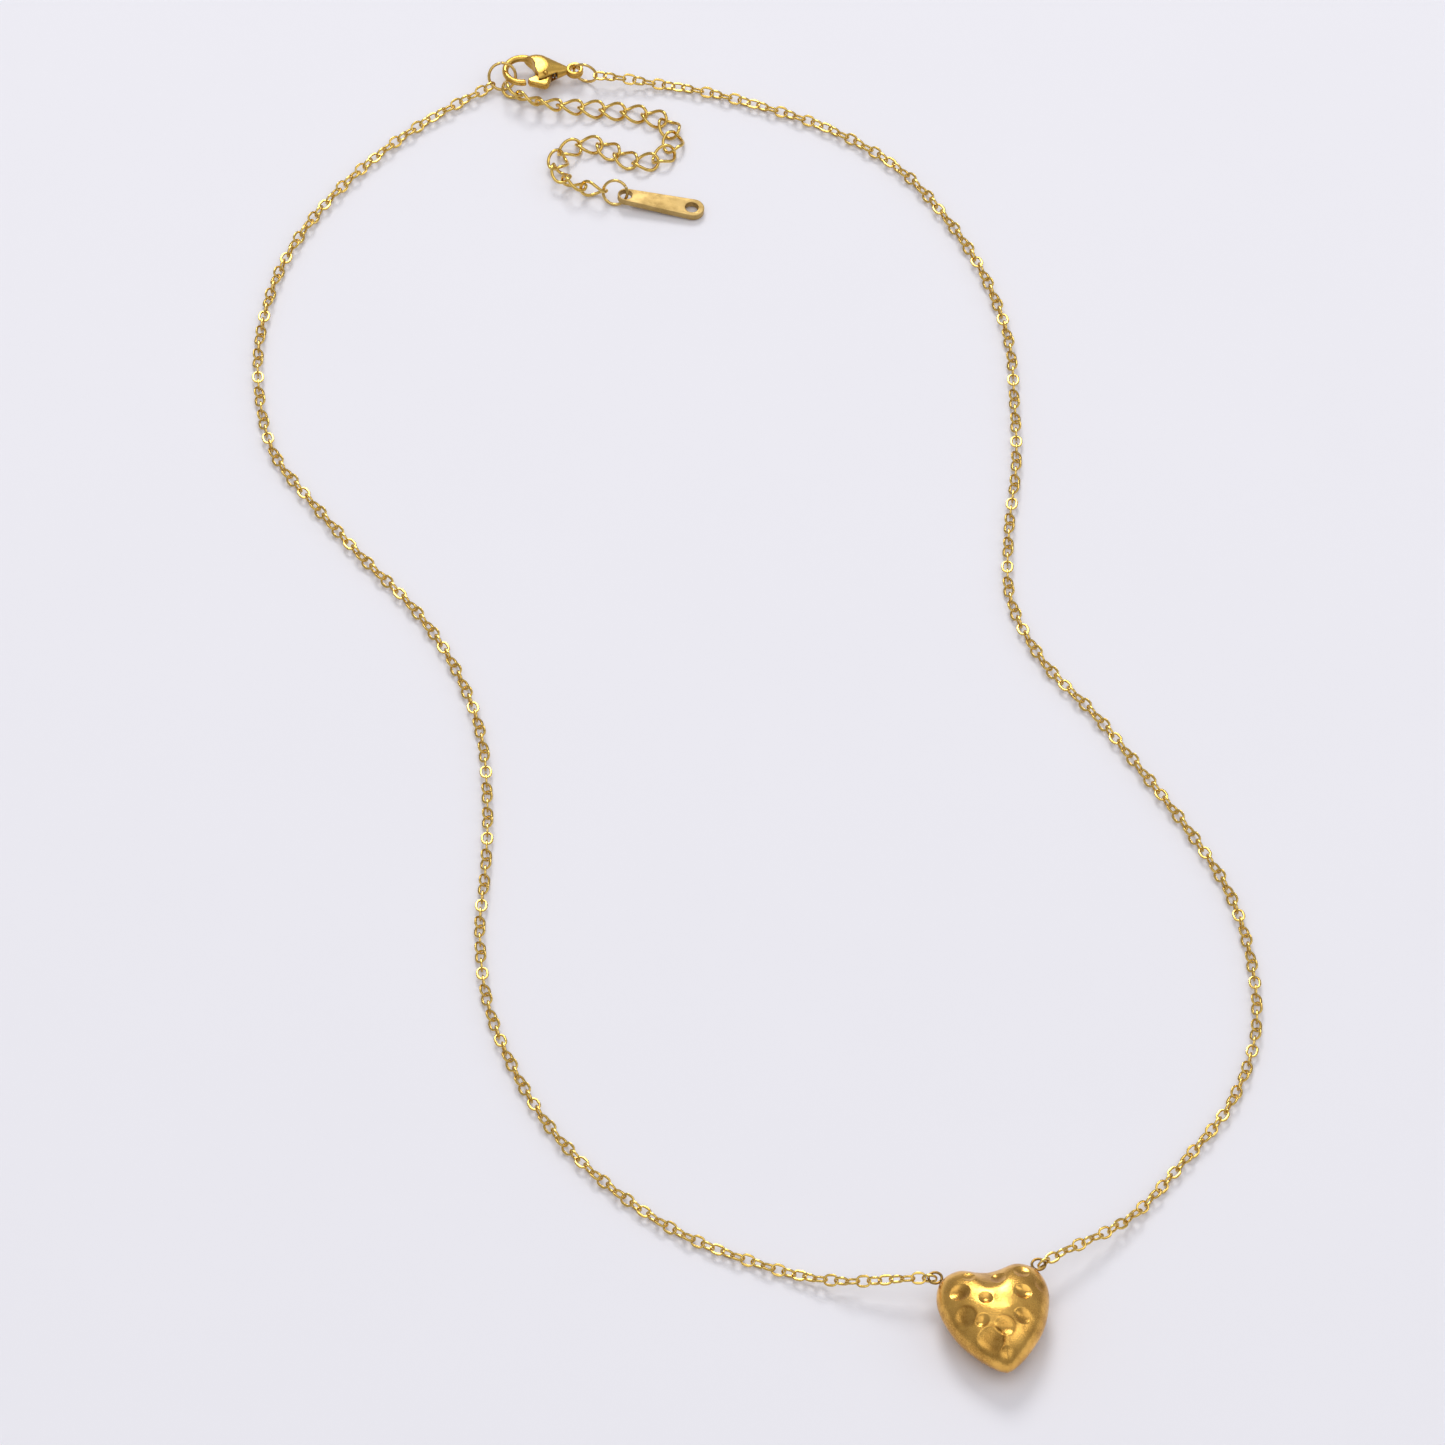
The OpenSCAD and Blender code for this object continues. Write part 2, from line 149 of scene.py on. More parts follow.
def round_section(radius, sides=14):
    turn = np.linspace(0, 2 * math.pi, sides, endpoint=False)
    return [(radius * math.cos(t), radius * math.sin(t)) for t in turn]


def rounded_box_section(w, h, r, steps=2):
    """Rectangle w by h with corners of radius r."""
    points = []
    for quarter, (sx, sy) in enumerate([(1, 1), (-1, 1), (-1, -1), (1, -1)]):
        for k in range(steps + 1):
            t = math.pi / 2 * (quarter + k / steps)
            points.append((sx * (w / 2 - r) + r * math.cos(t), sy * (h / 2 - r) + r * math.sin(t)))
    return points


def frames_along(centre, up):
    """Outward and corrected up vectors of a closed path from a rough up."""
    along = np.roll(centre, -1, axis=0) - np.roll(centre, 1, axis=0)
    along /= np.linalg.norm(along, axis=1, keepdims=True)
    out = np.cross(along, up)
    out /= np.linalg.norm(out, axis=1, keepdims=True)
    return out, np.cross(out, along)


def solids_of(node):
    """Corner coordinates of each separate solid in a CAD node, in metres."""
    bm = bmesh.new()
    bm.from_mesh(NODES[node].data)
    bmesh.ops.remove_doubles(bm, verts=bm.verts, dist=1e-7)
    seen, solids = set(), []
    for start in bm.verts:
        if start in seen:
            continue
        stack, part = [start], []
        seen.add(start)
        while stack:
            v = stack.pop()
            part.append(v.co[:])
            for e in v.link_edges:
                w = e.other_vert(v)
                if w not in seen:
                    seen.add(w)
                    stack.append(w)
        solids.append(np.array(part))
    bm.free()
    return solids


def placement(points):
    """Middle and axes (longest, middle, shortest as columns) of a symmetric solid."""
    mid = points.mean(0)
    values, vectors = np.linalg.eigh(np.cov((points - mid).T))
    axes = vectors[:, np.argsort(values)[::-1]]
    axes[:, 2] = np.cross(axes[:, 0], axes[:, 1])
    local = (points - mid) @ axes
    mid = mid + axes @ ((local.min(0) + local.max(0)) / 2)
    return mid, axes


def placed(template, mid, axes, wobble=0.0):
    """Template verts in mm to metres at a solid's place, turned by up to wobble degrees."""
    turn = np.eye(3)
    if wobble:
        for axis in "XYZ":
            angle = math.radians(rng.uniform(-wobble, wobble))
            turn = turn @ np.array(Matrix.Rotation(angle, 3, axis))
    return template @ turn.T @ (axes.T * MM) + mid


def finish_piece(obj, body, slot_name, material, *nodes):
    """Gives a piece its finish, joins it to its body and hides the CAD that it stands for."""
    obj.data.materials.clear()
    obj.data.materials.append(material)
    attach(obj, body)
    if nodes:
        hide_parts(*nodes)
    return obj


# ---------------------------------------------------------------- materials


def add(nodes, kind, **inputs):
    node = nodes.new(kind)
    for key, value in inputs.items():
        node.inputs[key.replace("_", " ")].default_value = value
    return node


def gold(name, light, dark, rough, grain, grain_scale, wear_scale, pits=0.0, patina_and_painted_light=0.0):
    """Gold plate: tone and roughness vary slowly, fine grain breaks the reflection,
    pits darken and roughen it in patches and a corner attribute adds patina, painted shade and painted dark
    reflection."""
    mat = bpy.data.materials.new(name)
    mat.use_nodes = True
    nodes, links = mat.node_tree.nodes, mat.node_tree.links
    bsdf = nodes["Principled BSDF"]
    bsdf.inputs["Metallic"].default_value = 1.0
    bsdf.inputs["IOR"].default_value = 1.5
    coord = nodes.new("ShaderNodeTexCoord")
    wear = add(nodes, "ShaderNodeTexNoise", Scale=wear_scale, Detail=4.0, Roughness=0.6)
    links.new(coord.outputs["Object"], wear.inputs["Vector"])
    fine = add(nodes, "ShaderNodeTexNoise", Scale=grain_scale, Detail=3.0, Roughness=0.7)
    links.new(coord.outputs["Object"], fine.inputs["Vector"])

    patch = add(nodes, "ShaderNodeMapRange", From_Min=0.42, From_Max=0.62, To_Min=0.0, To_Max=pits)
    links.new(wear.outputs["Fac"], patch.inputs["Value"])
    spots = add(nodes, "ShaderNodeMapRange", From_Min=0.62, From_Max=0.4)
    links.new(fine.outputs["Fac"], spots.inputs["Value"])
    pitted = nodes.new("ShaderNodeMath")
    pitted.operation = "MULTIPLY"
    links.new(patch.outputs["Result"], pitted.inputs[0])
    links.new(spots.outputs["Result"], pitted.inputs[1])
    # Corner attribute that darkens the gold: patina in the heart's hollows, painted shade along its creases and
    # painted dark reflection on its eye wires.
    hollow = nodes.new("ShaderNodeAttribute")
    hollow.attribute_name = "patina_and_painted_light"
    tinted = nodes.new("ShaderNodeMath")
    tinted.operation = "MULTIPLY_ADD"
    tinted.use_clamp = True
    tinted.inputs[1].default_value = patina_and_painted_light
    links.new(hollow.outputs["Fac"], tinted.inputs[0])
    links.new(pitted.outputs["Value"], tinted.inputs[2])

    tone = nodes.new("ShaderNodeValToRGB")
    tone.color_ramp.elements[0].position = 0.35
    tone.color_ramp.elements[0].color = (*light, 1)
    tone.color_ramp.elements[1].position = 0.7
    tone.color_ramp.elements[1].color = (*[0.6 * a + 0.4 * b for a, b in zip(light, dark)], 1)
    links.new(wear.outputs["Fac"], tone.inputs["Fac"])
    mix = nodes.new("ShaderNodeMix")
    mix.data_type = "RGBA"
    for socket in mix.inputs:
        if socket.name == "B" and socket.type == "RGBA":
            socket.default_value = (*dark, 1)
        if socket.name == "A" and socket.type == "RGBA":
            links.new(tone.outputs["Color"], socket)
    links.new(tinted.outputs["Value"], mix.inputs[0])
    links.new([o for o in mix.outputs if o.type == "RGBA"][0], bsdf.inputs["Base Color"])

    spread = add(nodes, "ShaderNodeMapRange", To_Min=rough * 0.8, To_Max=rough * 1.3)
    links.new(wear.outputs["Fac"], spread.inputs["Value"])
    dull = nodes.new("ShaderNodeMath")
    dull.operation = "MULTIPLY_ADD"
    dull.inputs[1].default_value = 0.35
    links.new(pitted.outputs["Value"], dull.inputs[0])
    links.new(spread.outputs["Result"], dull.inputs[2])
    links.new(dull.outputs["Value"], bsdf.inputs["Roughness"])

    bump = nodes.new("ShaderNodeBump")
    bump.inputs["Strength"].default_value = grain
    bump.inputs["Distance"].default_value = 2e-5
    links.new(fine.outputs["Fac"], bump.inputs["Height"])
    links.new(bump.outputs["Normal"], bsdf.inputs["Normal"])
    return mat


def plain(name, colour, rough, metallic=0.0):
    mat = bpy.data.materials.new(name)
    mat.use_nodes = True
    nodes, links = mat.node_tree.nodes, mat.node_tree.links
    bsdf = nodes["Principled BSDF"]
    bsdf.inputs["Metallic"].default_value = metallic
    bsdf.inputs["Roughness"].default_value = rough
    coord = nodes.new("ShaderNodeTexCoord")
    noise = add(nodes, "ShaderNodeTexNoise", Scale=40.0, Detail=3.0)
    links.new(coord.outputs["Object"], noise.inputs["Vector"])
    tone = nodes.new("ShaderNodeValToRGB")
    tone.color_ramp.elements[0].color = (*[c * 0.985 for c in colour], 1)
    tone.color_ramp.elements[1].color = (*colour, 1)
    links.new(noise.outputs["Fac"], tone.inputs["Fac"])
    links.new(tone.outputs["Color"], bsdf.inputs["Base Color"])
    return mat


CHAIN_GOLD = gold("chain_gold", (0.78, 0.54, 0.14), (0.5, 0.3, 0.06), 0.15, 0.15, 9000, 1500, 0.3)
RING_GOLD = gold("ring_gold", (0.86, 0.6, 0.19), (0.22, 0.11, 0.02), 0.14, 0.12, 7000, 900, 0.12, 1.0)
CLASP_GOLD = gold("clasp_gold", (0.72, 0.45, 0.1), (0.45, 0.26, 0.05), 0.27, 0.2, 6000, 500, 0.4)
EXT_GOLD = gold("extender_gold", (0.82, 0.57, 0.15), (0.52, 0.32, 0.07), 0.15, 0.15, 8000, 1000, 0.3)
TAG_GOLD = gold("tag_gold", (0.56, 0.39, 0.15), (0.45, 0.3, 0.1), 0.48, 0.5, 6000, 700, 0.4)
HEART_GOLD = gold("heart_gold", (0.92, 0.53, 0.12), (0.24, 0.1, 0.015), 0.21, 0.6, 7000, 380, 0.5, 1.0)
SPRING_STEEL = plain("spring_steel", (0.55, 0.54, 0.52), 0.3, 1.0)
MATERIAL = {
    "chain_gold": CHAIN_GOLD,
    "ring_gold": RING_GOLD,
    "clasp_gold": CLASP_GOLD,
    "extender_gold": EXT_GOLD,
    "tag_gold": TAG_GOLD,
    "heart_gold": HEART_GOLD,
    "spring_steel": SPRING_STEEL,
}


def dress(obj, *nodes):
    """Finishes a piece that stands for CAD nodes of one body and one slot."""
    slot_name = SLOT_OF[nodes[0]]
    return finish_piece(obj, BODY_OF[nodes[0]], slot_name, MATERIAL[slot_name], *nodes)


# ---------------------------------------------------------------- cable chain


def cable_link():
    """One flattened oval link: verts in mm and faces."""
    half = (LINK_L - LINK_W) / 2
    r = (LINK_W - LINK_WIRE) / 2
    centre = []
    for side, start in ((1, -math.pi / 2), (-1, math.pi / 2)):
        for t in np.linspace(start, start + math.pi, 14):
            centre.append((side * half + r * math.cos(t), r * math.sin(t), 0))
    centre = np.array(centre)
    out, up = frames_along(centre, np.tile([0.0, 0.0, 1.0], (len(centre), 1)))
    section = np.array(rounded_box_section(LINK_WIRE, LINK_T, 0.055))
    verts, faces = sweep(centre, out, up, section)
    inner = np.tile(section[:, 0] < 0, len(centre))
    belly = LINK_BELLY * np.repeat((np.abs(centre[:, 1]) / r) ** 4, len(section))
    verts[:, 1] -= np.sign(verts[:, 1]) * belly * inner
    return verts, faces


def chain(node):
    template, faces = cable_link()
    verts, all_faces = [], []
    for points in solids_of(node):
        mid, axes = placement(points)
        base = len(verts) * len(template)
        verts.append(placed(template, mid, axes, 1.5))
        all_faces += [tuple(base + i for i in f) for f in faces]
    dress(new_object(node + "_links", np.vstack(verts), all_faces), node)


# ---------------------------------------------------------------- rings and curb links


def curb_link():
    t = np.linspace(0, 2 * math.pi, 48, endpoint=False)
    u, twist = EXT_B * np.sin(t), EXT_TWIST * np.cos(t)
    centre = np.stack([EXT_A * np.cos(t), u * np.cos(twist), u * np.sin(twist)], 1)
    rough_up = np.stack([0 * t, -np.sin(twist), np.cos(twist)], 1)
    out, up = frames_along(centre, rough_up)
    return sweep(centre, out, up, round_section(EXT_WIRE / 2))


def extender():
    template, faces = curb_link()
    for number in range(1, 21):
        node = f"ext_link_{number:02d}"
        mid, axes = placement(solids_of(node)[0])
        dress(new_object(node + "_wire", placed(template, mid, axes), faces), node)


def split_ring(radius, wire, cut_at, gap=0.03):
    """Jump ring in its own plane, with a fine cut where its wire was closed."""
    half = gap / radius
    t = np.linspace(cut_at + half, cut_at + 2 * math.pi - half, 72)
    out = np.stack([np.cos(t), np.sin(t), 0 * t], 1)
    up = np.tile([0.0, 0.0, 1.0], (len(t), 1))
    return sweep(radius * out, out, up, round_section(wire / 2, 16), closed=False)


def jump_ring(node, wire, cut_at):
    points = solids_of(node)[0]
    mid, axes = placement(points)
    size = np.ptp((points - mid) @ axes, axis=0)[:2].mean() / MM
    verts, faces = split_ring((size - wire) / 2, wire, cut_at)
    dress(new_object(node + "_wire", placed(verts, mid, axes), faces), node)


# ---------------------------------------------------------------- heart

HALF_OUTLINE = [
    (0, 0.92), (0.23, 0.94), (0.57, 1), (0.89, 0.82), (1, 0.37),
    (0.81, -0.24), (0.47, -0.68), (0.17, -0.93), (0, -1),
]
# Hammered dimples: middle x and y, radius, depth
DIMPLES = [
    (-1.1, 1, 0.75, 0.22), (-3.6, 2.5, 1.05, 0.3), (-2.3, 4.4, 0.7, 0.16),
    (0.7, 3.8, 0.85, 0.22), (3.3, 4.3, 0.9, 0.25), (2.9, 1.4, 0.95, 0.3),
    (5.2, 2.5, 0.8, 0.22), (-1.9, -1.5, 0.75, 0.25), (0.2, -2.6, 1.1, 0.3),
    (2.3, -1.5, 0.9, 0.27), (-3.6, -0.6, 1.15, 0.3), (-1.5, -3.8, 1.45, 0.35),
    (0.1, -5.4, 0.75, 0.15), (1, 0.8, 1.3, 0.04),
]


def smooth_curve(points, steps):
    """Catmull-Rom curve through points, ends included."""
    p = np.array(points, float)
    p = np.vstack([2 * p[0] - p[1], p, 2 * p[-1] - p[-2]])
    out = []
    for a, b, c, d in zip(p, p[1:], p[2:], p[3:]):
        for k in range(steps):
            t = k / steps
            out.append(
                0.5 * (2 * b + (c - a) * t + (2 * a - 5 * b + 4 * c - d) * t * t
                       + (3 * b - a - 3 * c + d) * t ** 3)
            )
    out.append(p[-2])
    return np.array(out)


def ease(t):
    u = np.clip(t, 0, 1)
    return u * u * (3 - 2 * u)


def dimple_depth(x, y, side):
    """Depth of the hammer marks at x, y, with a crisp rim round each one."""
    deepest = 0 * x
    for dx, dy, radius, depth in DIMPLES:
        q = ((x * side - dx) ** 2 + (y - dy) ** 2) / radius ** 2
        deepest = np.maximum(deepest, depth * np.maximum(1 - q, 0) ** 0.95)
    return deepest


def dimple_patina_and_shade(x, y, side):
    """How dark the metal is: patina in the hollows, and painted shade along the right edge of the big low ones."""
    hollow = np.clip((dimple_depth(x, y, side) - 0.08) / 0.2, 0, 1)
    # Painted shade along the right edge of each big low dimple, where its steep wall falls dark.
    crease_shade = 0.0
    for dx, dy, radius, _ in DIMPLES:
        if radius > 1 and dy < 0:
            away = math.hypot(x * side - dx, y - dy) + 1e-6
            right = ease((x * side - dx + 0.4 * (y - dy)) / away + 0.2)
            crease_shade = max(crease_shade, right * math.exp(-((away - radius - 0.05) / 0.17) ** 2))
    return float(HOLLOW_TINT * hollow + CREASE_PAINTED_SHADE * crease_shade)


def heart_height(x, y, r, side):
    """Height of the heart's face at x, y, which is a share r of the way to the rim."""
    height = HEART_T / 2 * np.maximum(1 - r ** 2.4, 0) ** 0.55
    height = height * (1 - 0.3 * np.exp(-(x / 1.3) ** 2) * ease((y - 2) / 4))
    ripple = np.sin(2.1 * x + 1.3 * y + 0.4) * np.sin(1.7 * y - 1.1 * x + side)
    hollow = DIMPLE_GAIN * dimple_depth(x, y, side) + 0.012 * (1 + ripple)
    return np.maximum(height - hollow * ease(4 - 4 * r), 0)


def add_patina_and_painted_light(obj, amounts):
    """How dark the gold is at each corner, read by the material: patina and painted shade on the heart, painted
    dark reflection on its eyes.
    """
    patina_and_painted_light = obj.data.attributes.new("patina_and_painted_light", "FLOAT", "POINT")
    patina_and_painted_light.data.foreach_set("value", amounts)


def heart():
    """Puffed, hammered heart in its own frame, then set at its place."""
    half = smooth_curve([(x * HEART_W / 2, y * HEART_L / 2) for x, y in HALF_OUTLINE], 22)
    rim = np.vstack([half, half[-2:0:-1] * [-1, 1]])
    m, rings = len(rim), 84
    verts, faces = [], []
    for side in (1, -1):
        base = len(verts)
        verts.append((0, 0, side * heart_height(0.0, 0.0, np.array(0.0), side)))
        for k in range(1, rings + 1):
            r = math.sin(math.pi / 2 * k / rings)
            x, y = rim[:, 0] * r, rim[:, 1] * r
            z = side * heart_height(x, y, np.full(m, r), side)
            verts += list(zip(x, y, z))
        for j in range(m):
            faces.append((base, base + 1 + j, base + 1 + (j + 1) % m))
            for k in range(rings - 1):
                a, b = base + 1 + k * m + j, base + 1 + k * m + (j + 1) % m
                faces.append((a, a + m, b + m, b))
    tilt = JOINTS["heart_tilt"]
    across = Vector(tilt["axis"]).normalized()
    away = Vector((-across.y, across.x, 0))
    origin = Vector(tilt["pos_m"]) - away * EYE_OFF[1] * MM
    axes = np.array([across, away, (0, 0, 1)]).T
    verts = np.array([tuple(map(float, v)) for v in verts])
    bead = new_object("heart_bead", placed(verts, np.array(origin), axes), faces)
    corners = [(np.array(v.co) - np.array(origin)) @ axes / MM for v in bead.data.vertices]
    # Patina in the dimples plus painted shade along the creases, stored per corner.
    add_patina_and_painted_light(bead, [dimple_patina_and_shade(x, y, 1 if z > 0 else -1) for x, y, z in corners])
    dress(bead, "heart_body")
    return np.array(origin), axes


def heart_eye(side, origin, axes):
    """Wire eye with its two ends together as a shank into the lobe."""
    turn = math.pi + EYE_DIR if side > 0 else -EYE_DIR
    into = np.array([math.cos(turn), math.sin(turn), 0])
    cross = np.array([-math.sin(turn), math.cos(turn), 0])
    up = np.array([0.0, 0.0, 1.0])
    mid = np.array([side * EYE_OFF[0], EYE_OFF[1], 0])
    verts, faces = split_ring((EYE_D - EYE_WIRE) / 2, EYE_WIRE, 0.0)
    turned = mid + verts[:, :1] * into + verts[:, 1:2] * cross + verts[:, 2:] * up
    start = mid + into * (EYE_D - EYE_WIRE) / 2
    reach = np.linspace(0, SHANK_L + EYE_WIRE / 2, 6)[:, None]
    shank = start + reach * into
    section = round_section(SHANK_R, 16)
    crosses, ups = np.tile(cross, (6, 1)), np.tile(up, (6, 1))
    more, more_faces = sweep(shank, crosses, ups, section, closed=False)
    verts = np.vstack([turned, more])
    faces += [tuple(len(turned) + i for i in f) for f in more_faces]
    name = "heart_eye_right" if side > 0 else "heart_eye_left"
    eye = new_object(name + "_wire", placed(verts, origin, axes), faces)
    # Painted dark reflection: the eye wires are darkened evenly, as if they mirrored dark surroundings.
    add_patina_and_painted_light(eye, [EYE_PAINTED_REFLECTION] * len(eye.data.vertices))
    dress(eye, name)


# ---------------------------------------------------------------- clasp


def hull(name, points):
    """Closed convex solid round points, in mm."""
    bm = bmesh.new()
    for p in points:
        bm.verts.new(p)
    found = bmesh.ops.convex_hull(bm, input=bm.verts)
    inside = found["geom_interior"] + found["geom_unused"]
    loose = {v for v in inside if isinstance(v, bmesh.types.BMVert)}
    bmesh.ops.delete(bm, geom=list(loose), context="VERTS")
    mesh = bpy.data.meshes.new(name)
    bm.to_mesh(mesh)
    bm.free()
    obj = bpy.data.objects.new(name, mesh)
    bpy.context.scene.collection.objects.link(obj)
    tidy(obj)
    return obj


def dome(x, y, radius, height, power=1.0):
    """Points of a flattened ball; a low power gives it straight sides and flat faces."""
    steps = 20
    points = []
    for lat in np.linspace(-math.pi / 2, math.pi / 2, steps):
        r, z = radius * math.cos(lat) ** power, height * math.sin(lat)
        for lon in np.linspace(0, 2 * math.pi, steps * 2, endpoint=False):
            points.append((x + r * math.cos(lon), y + r * math.sin(lon), z))
    return points


def tube(name, centre, radii, sides=20):
    """Capped tube in the clasp's plane along centre, in mm."""
    centre = np.array(centre, float)
    along = np.gradient(centre, axis=0)
    along /= np.linalg.norm(along, axis=1, keepdims=True)
    up = np.tile([0.0, 0.0, 1.0], (len(centre), 1))
    out = np.cross(along, up)
    ring = round_section(1.0, sides)
    verts = [c + r * (s * o + t * u) for c, r, o, u in zip(centre, radii, out, up) for s, t in ring]
    _, faces = sweep(centre, out, up, ring, closed=False)
    return new_object(name, verts, faces)


def block(name, lo, hi):
    corners = [(x, y, z) for x in (lo[0], hi[0]) for y in (lo[1], hi[1]) for z in (lo[2], hi[2])]
    return hull(name, corners)


def rod(name, x, y, radius, height, sides=48):
    turn = np.linspace(0, 2 * math.pi, sides, endpoint=False)
    ring = [(x + radius * math.cos(t), y + radius * math.sin(t)) for t in turn]
    return hull(name, [(*point, z) for point in ring for z in (-height / 2, height / 2)])


def boolean(obj, other, operation):
    mod = obj.modifiers.new("boolean", "BOOLEAN")
    mod.operation = operation
    mod.solver = "EXACT"
    mod.object = other
    evaluated(obj)
    bpy.data.objects.remove(other)
    return obj


def cast(obj, voxel=0.05, rounds=6):
    """Blends a rough solid into one smooth casting, in mm."""
    mod = obj.modifiers.new("blend", "REMESH")
    mod.mode = "VOXEL"
    mod.voxel_size = voxel
    mod.use_smooth_shade = True
    soft = obj.modifiers.new("soften", "SMOOTH")
    soft.iterations = rounds
    soft.factor = 0.5
    return evaluated(obj)


def joined(obj, others):
    for other in others:
        boolean(obj, other, "UNION")
    return obj


def set_clasp_piece(obj, origin, *nodes):
    obj.data.transform(Matrix.Translation(origin) @ Matrix.Scale(MM, 4))
    for poly in obj.data.polygons:
        poly.use_smooth = True
    return dress(obj, *nodes)


def clasp_tail():
    """Thick eye with a groove round its edge."""
    groove, groove_w = 0.08, 0.09
    section = rounded_box_section(TAIL_W, TAIL_T, 0.15, 4)
    for t in np.linspace(-0.26, 0.26, 9):
        section.append((TAIL_W / 2 - groove * math.exp(-(t / groove_w) ** 2), t))
    turn = np.linspace(0, 2 * math.pi, 72, endpoint=False)
    out = np.stack([np.cos(turn), np.sin(turn), 0 * turn], 1)
    up = np.tile([0.0, 0.0, 1.0], (72, 1))
    return new_object("tail", *sweep(TAIL_R * out, out, up, section))


def clasp():
    pin_lo, pin_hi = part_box("clasp_pin")
    origin = (pin_lo + pin_hi) / 2 - Vector((*GATE_PIVOT, 0)) * MM

    body = hull(
        "clasp_casting",
        dome(CASTING_X, 0, CASTING_R, CLASP_T / 2 - 0.02, 0.4) + dome(NECK_X, 0, NECK_R, 0.5),
    )
    boolean(body, rod("opening", HOOK_X, 0, HOOK_ROOM, 4), "DIFFERENCE")
    room = [(-7.3, -0.3), (-4.66, -0.3), (-4.25, -1.3), (-4.25, -2.8), (-7.3, -2.8)]
    boolean(body, hull("gate_room", [(x, y, z) for x, y in room for z in (-2, 2)]), "DIFFERENCE")
    boolean(body, rod("eye_room", 0, 0, 0.92, 4), "DIFFERENCE")
    slot = block("slot", (-7.0, -3.3, -SLOT_T / 2), (-2.0, -0.2, SLOT_T / 2))
    boolean(body, slot, "DIFFERENCE")
    steps = 70
    arc = np.radians(np.linspace(HOOK_FROM, HOOK_TO, steps))
    hook = tube(
        "hook",
        [(HOOK_X + HOOK_R * math.cos(a), HOOK_R * math.sin(a), 0) for a in arc],
        np.interp(np.arange(steps), [0, 18, 40, 62, 67, 69], [0.45, 0.41, 0.38, 0.38, 0.41, 0.38]),
    )
    joined(body, [hook])
    cast(body, 0.04, 3)
    joined(body, [clasp_tail()])
    boolean(body, rod("pin_bore", *GATE_PIVOT, PIN_D / 2, 4), "DIFFERENCE")
    set_clasp_piece(body, origin, "clasp_body")

    px, py = GATE_PIVOT
    arm, boss, thumb = (-5.1, -1.85, 0.37), (px, py, 0.72), (px - 0.1, py - 1.0, 0.59)
    sides = [
        hull("clasp_lever", [p for x, y, r in pair for p in dome(x, y, r, GATE_T / 2, GATE_ROUND)])
        for pair in ((arm, boss), (boss, thumb), (arm, thumb))
    ]
    gate = joined(sides[0], sides[1:])
    cast(gate, 0.035, 3)
    boolean(gate, rod("hinge_hole", px, py, PIN_D / 2 + PIN_PLAY, 3), "DIFFERENCE")
    set_clasp_piece(gate, origin, "clasp_gate")

    pin = hull("clasp_rivet", dome(px, py, PIN_D / 2, CLASP_T / 2, 0.2))
    set_clasp_piece(pin, origin, "clasp_pin")

    sx, sy = px + SPRING_OFF[0], py + SPRING_OFF[1]
    r, leg, start = SPRING_BEND, SPRING_LEG, 0.05
    bend = [(sx - r, sy - d, 0) for d in np.linspace(leg, start, 10)]
    bend += [(sx - r * math.cos(a), sy + r * math.sin(a), 0) for a in np.linspace(0, math.pi, 16)]
    bend += [(sx + r, sy - d, 0) for d in np.linspace(start, leg, 10)]
    spring = tube("clasp_hairpin", bend, [SPRING_WIRE / 2] * len(bend), 12)
    set_clasp_piece(spring, origin, "clasp_spring")


# ---------------------------------------------------------------- tag


def circle(x, r, start=0.0, end=2 * math.pi, steps=48):
    turn = np.linspace(start, end, steps)
    return [(x + r * math.cos(t), r * math.sin(t)) for t in turn]


def tag():
    """Flat tapered bar with rounded ends, a hole at each end and softly rounded edges."""
    mid, axes = placement(solids_of("tag_plate")[0])
    if (mid - np.array(JOINTS["tag_swivel"]["pos_m"])) @ axes[:, 0] < 0:
        axes[:, :2] *= -1
    edge = 0.1
    curve = bpy.data.curves.new("tag_outline", "CURVE")
    curve.dimensions = "2D"
    curve.fill_mode = "BOTH"
    curve.extrude = TAG_T / 2 - edge
    curve.bevel_depth = edge
    curve.bevel_resolution = 3
    curve.offset = -edge
    lean = math.acos((TAG_FAR_R - TAG_NEAR_R) / TAG_FAR_X)
    outline = circle(TAG_FAR_X, TAG_FAR_R, -(math.pi - lean), math.pi - lean)
    outline += circle(0, TAG_NEAR_R, math.pi - lean, math.pi + lean)
    loops = [outline, circle(0, TAG_NEAR_HOLE / 2)[:0:-1], circle(TAG_SPAN, TAG_FAR_HOLE / 2)[:0:-1]]
    for loop in loops:
        spline = curve.splines.new("POLY")
        spline.points.add(len(loop) - 1)
        for point, (x, y) in zip(spline.points, loop):
            point.co = (x, y, 0, 1)
        spline.use_cyclic_u = True
    flat = bpy.data.objects.new("tag_flat", curve)
    bpy.context.scene.collection.objects.link(flat)
    bpy.context.view_layer.update()
    graph = bpy.context.evaluated_depsgraph_get()
    mesh = bpy.data.meshes.new_from_object(flat.evaluated_get(graph))
    bpy.data.objects.remove(flat)
    middle = (TAG_FAR_X + TAG_FAR_R - TAG_NEAR_R) / 2
    verts = np.array([v.co for v in mesh.vertices]) - [middle, 0, 0]
    faces = [tuple(p.vertices) for p in mesh.polygons]
    bpy.data.meshes.remove(mesh)
    obj = new_object("tag_bar", placed(verts, mid, axes), faces)
    sharp = obj.modifiers.new("sharp", "EDGE_SPLIT")
    sharp.split_angle = math.radians(40)
    evaluated(obj)
    dress(obj, "tag_plate")


# ---------------------------------------------------------------- build

for node in NODES:
    if node.startswith("chain_"):
        chain(node)
extender()
jump_ring("end_ring", 0.36, 2.2)
jump_ring("clasp_ring", 0.34, 1.1)
jump_ring("tag_ring", 0.36, 2.0)
heart_origin, heart_axes = heart()
for side in (-1, 1):
    heart_eye(side, heart_origin, heart_axes)
clasp()
tag()

# ---------------------------------------------------------------- table, light, camera

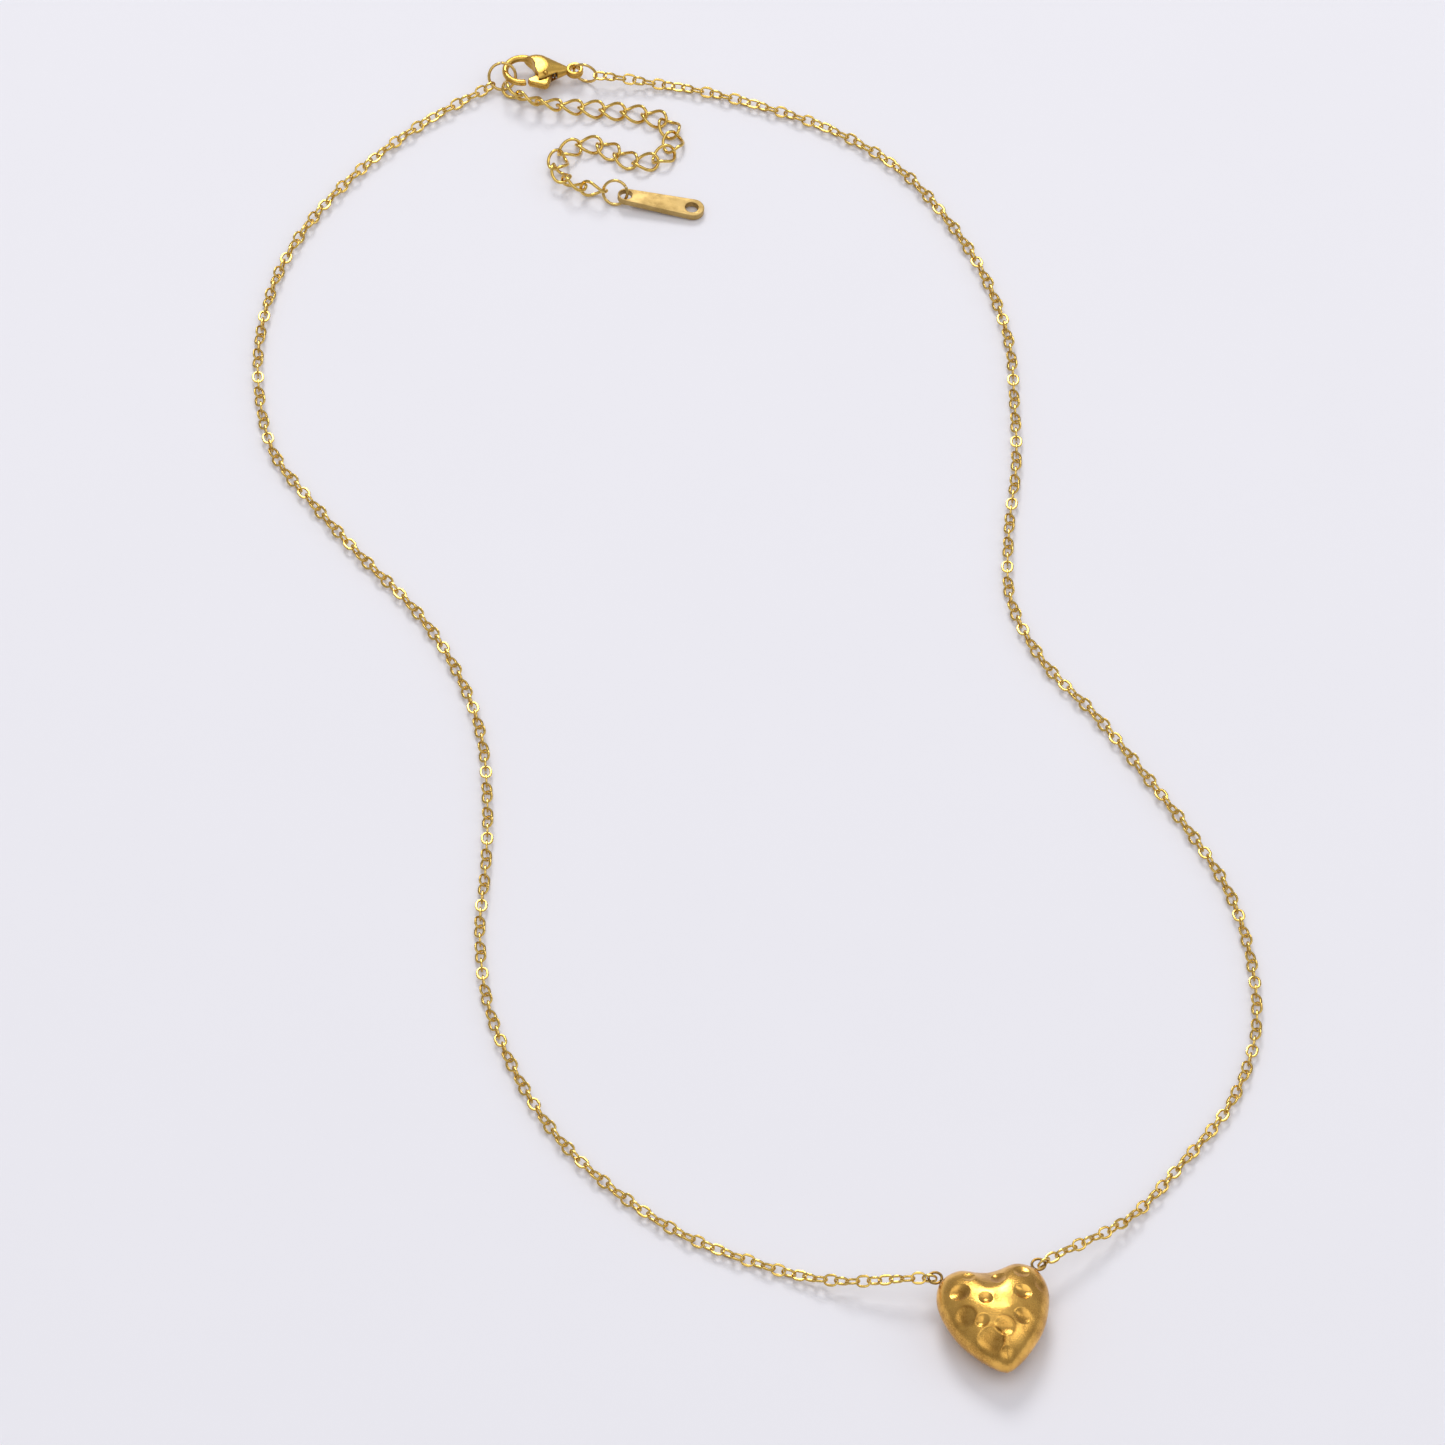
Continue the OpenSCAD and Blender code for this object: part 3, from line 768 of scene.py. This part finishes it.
TABLE_SIZE = 4.0
bpy.ops.mesh.primitive_plane_add(size=TABLE_SIZE, location=(0, 0, 0))
table = bpy.context.object
table.name = "table"
table.data.materials.append(plain("table_paper", (0.845, 0.835, 0.875), 0.7))


def softbox(name, where, size, power, shape="RECTANGLE"):
    """Area light aimed at the middle of the necklace."""
    data = bpy.data.lights.new(name, "AREA")
    data.shape = shape
    data.size, data.size_y = size
    data.energy = power
    light = bpy.data.objects.new(name, data)
    light.location = where
    light.rotation_mode = "QUATERNION"
    light.rotation_quaternion = (-Vector(where)).to_track_quat("-Z", "Y")
    bpy.context.scene.collection.objects.link(light)
    return light


softbox("key", (-0.13, 1.25, 1.27), (0.72, 0.72), 11.5, "ELLIPSE")
softbox("overhead", (0, -0.7, 2.3), (2.6, 2.6), 17.3)
softbox("side", (1.3, 0.1, 1.0), (0.4, 1.0), 2)

world = bpy.data.worlds.new("studio")
bpy.context.scene.world = world
world.use_nodes = True
sky, sky_links = world.node_tree.nodes, world.node_tree.links
direction = sky.new("ShaderNodeTexCoord")
split = sky.new("ShaderNodeSeparateXYZ")
shade = sky.new("ShaderNodeValToRGB")
shade.color_ramp.elements[0].position = 0.0
shade.color_ramp.elements[0].color = (0.33, 0.33, 0.35, 1)
shade.color_ramp.elements[1].position = 0.9
shade.color_ramp.elements[1].color = (0.6, 0.6, 0.63, 1)
sky_links.new(direction.outputs["Generated"], split.inputs["Vector"])
sky_links.new(split.outputs["Z"], shade.inputs["Fac"])
sky_links.new(shade.outputs["Color"], sky["Background"].inputs["Color"])
sky["Background"].inputs["Strength"].default_value = 0.9
bpy.context.scene.view_settings.view_transform = "Standard"

AIM = Vector((-2.2, -5.0, 0)) * MM
ELEVATION = math.radians(51.5)
DISTANCE = 0.9648
back = Vector((0, -math.cos(ELEVATION), math.sin(ELEVATION)))
lens = bpy.data.cameras.new("camera")
lens.lens = 217.5
lens.sensor_width = 36.0
lens.clip_start, lens.clip_end = 0.05, 20
camera = bpy.data.objects.new("camera", lens)
camera.location = AIM + back * DISTANCE
camera.rotation_mode = "QUATERNION"
camera.rotation_quaternion = (-back).to_track_quat("-Z", "Y")
bpy.context.scene.collection.objects.link(camera)
bpy.context.scene.camera = camera
